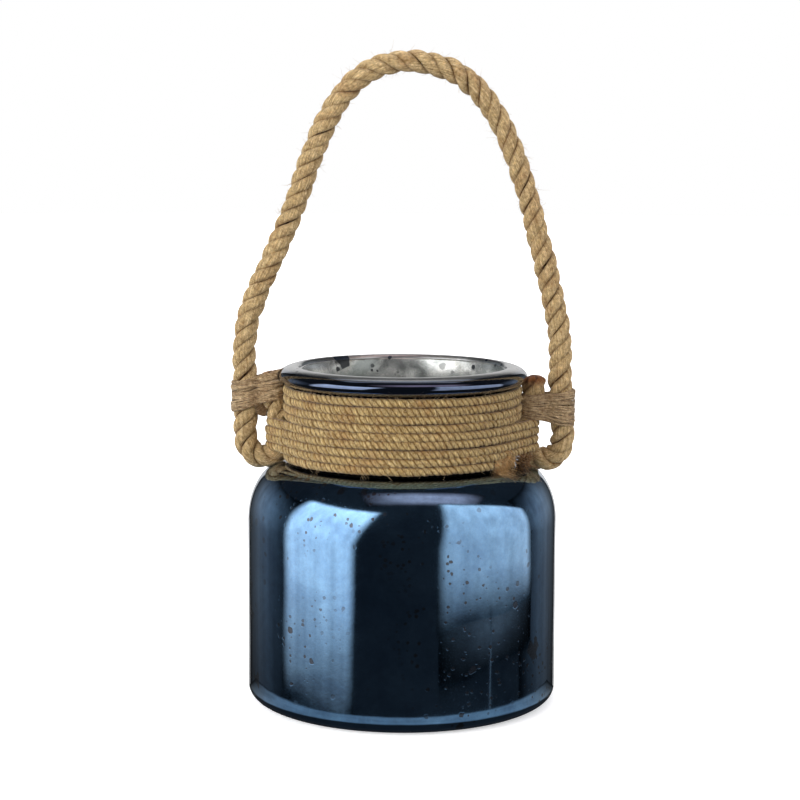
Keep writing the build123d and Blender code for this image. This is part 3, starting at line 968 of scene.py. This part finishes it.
# ---------------------------------------------------------------- the twine's cut end
def cut_end(line, material):
    """The frayed end of the twine: a brush of fibres that spreads and droops as it leaves the last turn."""
    end = line[-1]
    ahead = unit(line[-1] - line[-8])
    out = from_axis(end)
    up = np.array([0.0, 0.0, 1.0])
    brush_count, beyond_count, shade_fibre_count = 700, 320, 260
    tubes = []

    def thick_fibre(root, direction, shortest, longest):
        bend = 0.3 * rng.normal(size=3)
        length = rng.uniform(shortest, longest) * MM
        return fibre(root, direction, bend, length, rng.uniform(0.2, 0.4) * MM, around=4)

    for _ in range(brush_count):
        spread = rng.normal(size=2)
        back = rng.uniform(-6.0, 6.5) * MM
        direction = unit(0.8 * ahead + 0.16 * spread[0] * out + (0.30 * spread[1] - 0.75) * up + 0.12 * out)
        lift = (0.9 * spread[1] + 0.6) * MM + rng.uniform(0, 0.9) * max(-back, 0)
        root = end - ahead * back + lift * up + (0.45 * spread[0] + 0.6) * MM * out
        bend = 0.3 * rng.normal(size=3) - 0.15 * up - 0.15 * out
        length = rng.uniform(2.5, 6.0) * MM
        tubes.append(fibre(root, direction, 0.5 * bend, length, rng.uniform(0.12, 0.26) * MM, around=4))
    # fibres against the neck beyond it
    for _ in range(beyond_count):
        root = end + ahead * rng.uniform(3.0, 12.0) * MM + up * rng.uniform(-0.5, 5.0) * MM
        root[:2] *= (NECK_R + rng.uniform(0.3, 2.2) * MM) / math.hypot(root[0], root[1])
        along = unit(np.array([-root[1], root[0], 0.0]))
        direction = unit(along + 0.5 * rng.normal() * up)
        tubes.append(thick_fibre(root, direction, 3, 6))
    # fibres darkened as painted shade in the gap between it and the rope
    for _ in range(shade_fibre_count):
        turn, radius = math.radians(rng.uniform(-20, -9)), rng.uniform(56.5, 62.5) * MM
        root = np.array([radius * math.cos(turn), radius * math.sin(turn), rng.uniform(115.5, 122.0) * MM])
        direction = unit(rng.normal(size=3) * (1.0, 1.0, 0.5))
        ring, uv, extra = thick_fibre(root, direction, 2, 5)
        tubes.append((ring, uv, {**extra, "crest": 0.25 * extra["crest"]}))
    tubes = [(pressed(ring), uv, extra) for ring, uv, extra in tubes]
    fixed_piece(join_tubes("twine_end", tubes), material, "twine")


# ---------------------------------------------------------------- the whole lantern
camera()
studio()

navy = mercury_glass("navy_mercury_glass", tint=(0.175, 0.35, 0.57), tint_b=(0.11, 0.24, 0.43),
                     spot=(0.062, 0.080, 0.115), silver=(0.66, 0.67, 0.67),
                     rim=(0.085, 0.12, 0.21))
silver = mercury_glass("silvering", tint=(0.97, 0.98, 0.95), tint_b=(0.24, 0.26, 0.25),
                       spot=(0.05, 0.055, 0.06), silver=(0.7, 0.7, 0.7), dull=0.18, coat=0.15, metal=0.78)
twine_jute = jute("twine_jute", (0.20, 0.115, 0.035), (0.47, 0.33, 0.132), (0.85, 0.71, 0.40), (0.38, 0.18, 0.06),
                  groove_shade_colour=(0.34, 0.22, 0.11))
rope_jute = jute("rope_jute", (0.25, 0.15, 0.055), (0.54, 0.395, 0.195), (0.86, 0.70, 0.44), (0.40, 0.21, 0.08),
                 along=210.0, across=110.0, bump=0.00035, groove_shade_colour=(0.38, 0.27, 0.15))
seizing_jute = jute("seizing_jute", (0.16, 0.095, 0.045), (0.44, 0.31, 0.17), (0.80, 0.65, 0.44),
                    (0.28, 0.15, 0.07), along=200.0, across=24.0)
fibre_jute = jute("fibre_jute", (0.32, 0.21, 0.10), (0.52, 0.39, 0.22), (0.72, 0.60, 0.42), (0.36, 0.22, 0.10))
frayed_jute = jute("frayed_jute", (0.20, 0.09, 0.025), (0.46, 0.27, 0.10), (0.78, 0.54, 0.26), (0.36, 0.16, 0.05))

jar(navy)
lining(silver)
twine_route = twine(twine_jute)
cut_end(twine_route, frayed_jute)
rope_line = rope(rope_jute)
seizing("seizing_wrap_left", -1, rope_line, seizing_jute, "seizing_left", turns=12, thick=0.66 * MM,
        leg_span=(140.8 * MM, 154.8 * MM), tail_span=(147.3 * MM, 161.0 * MM), fill=(138.4 * MM, 148.0 * MM))
seizing("seizing_wrap_right", 1, rope_line, seizing_jute, "seizing_right", turns=22, thick=0.42 * MM,
        leg_span=(134.2 * MM, 151.5 * MM), tail_span=(138.4 * MM, 148.6 * MM))

rope_fuzz = stray_fibres("rope_fibres", rope_line, ROPE_R * 0.90, count=1100, shortest=1.5 * MM, longest=5 * MM)
rope_fuzz.data.materials.append(fibre_jute)
fold_piece(rope_fuzz)
twine_fuzz = stray_fibres("twine_fibres", twine_route, TWINE_R, count=2200, shortest=1.5 * MM, longest=6 * MM,
                          outward=from_axis)
fixed_piece(twine_fuzz, fibre_jute, "twine")
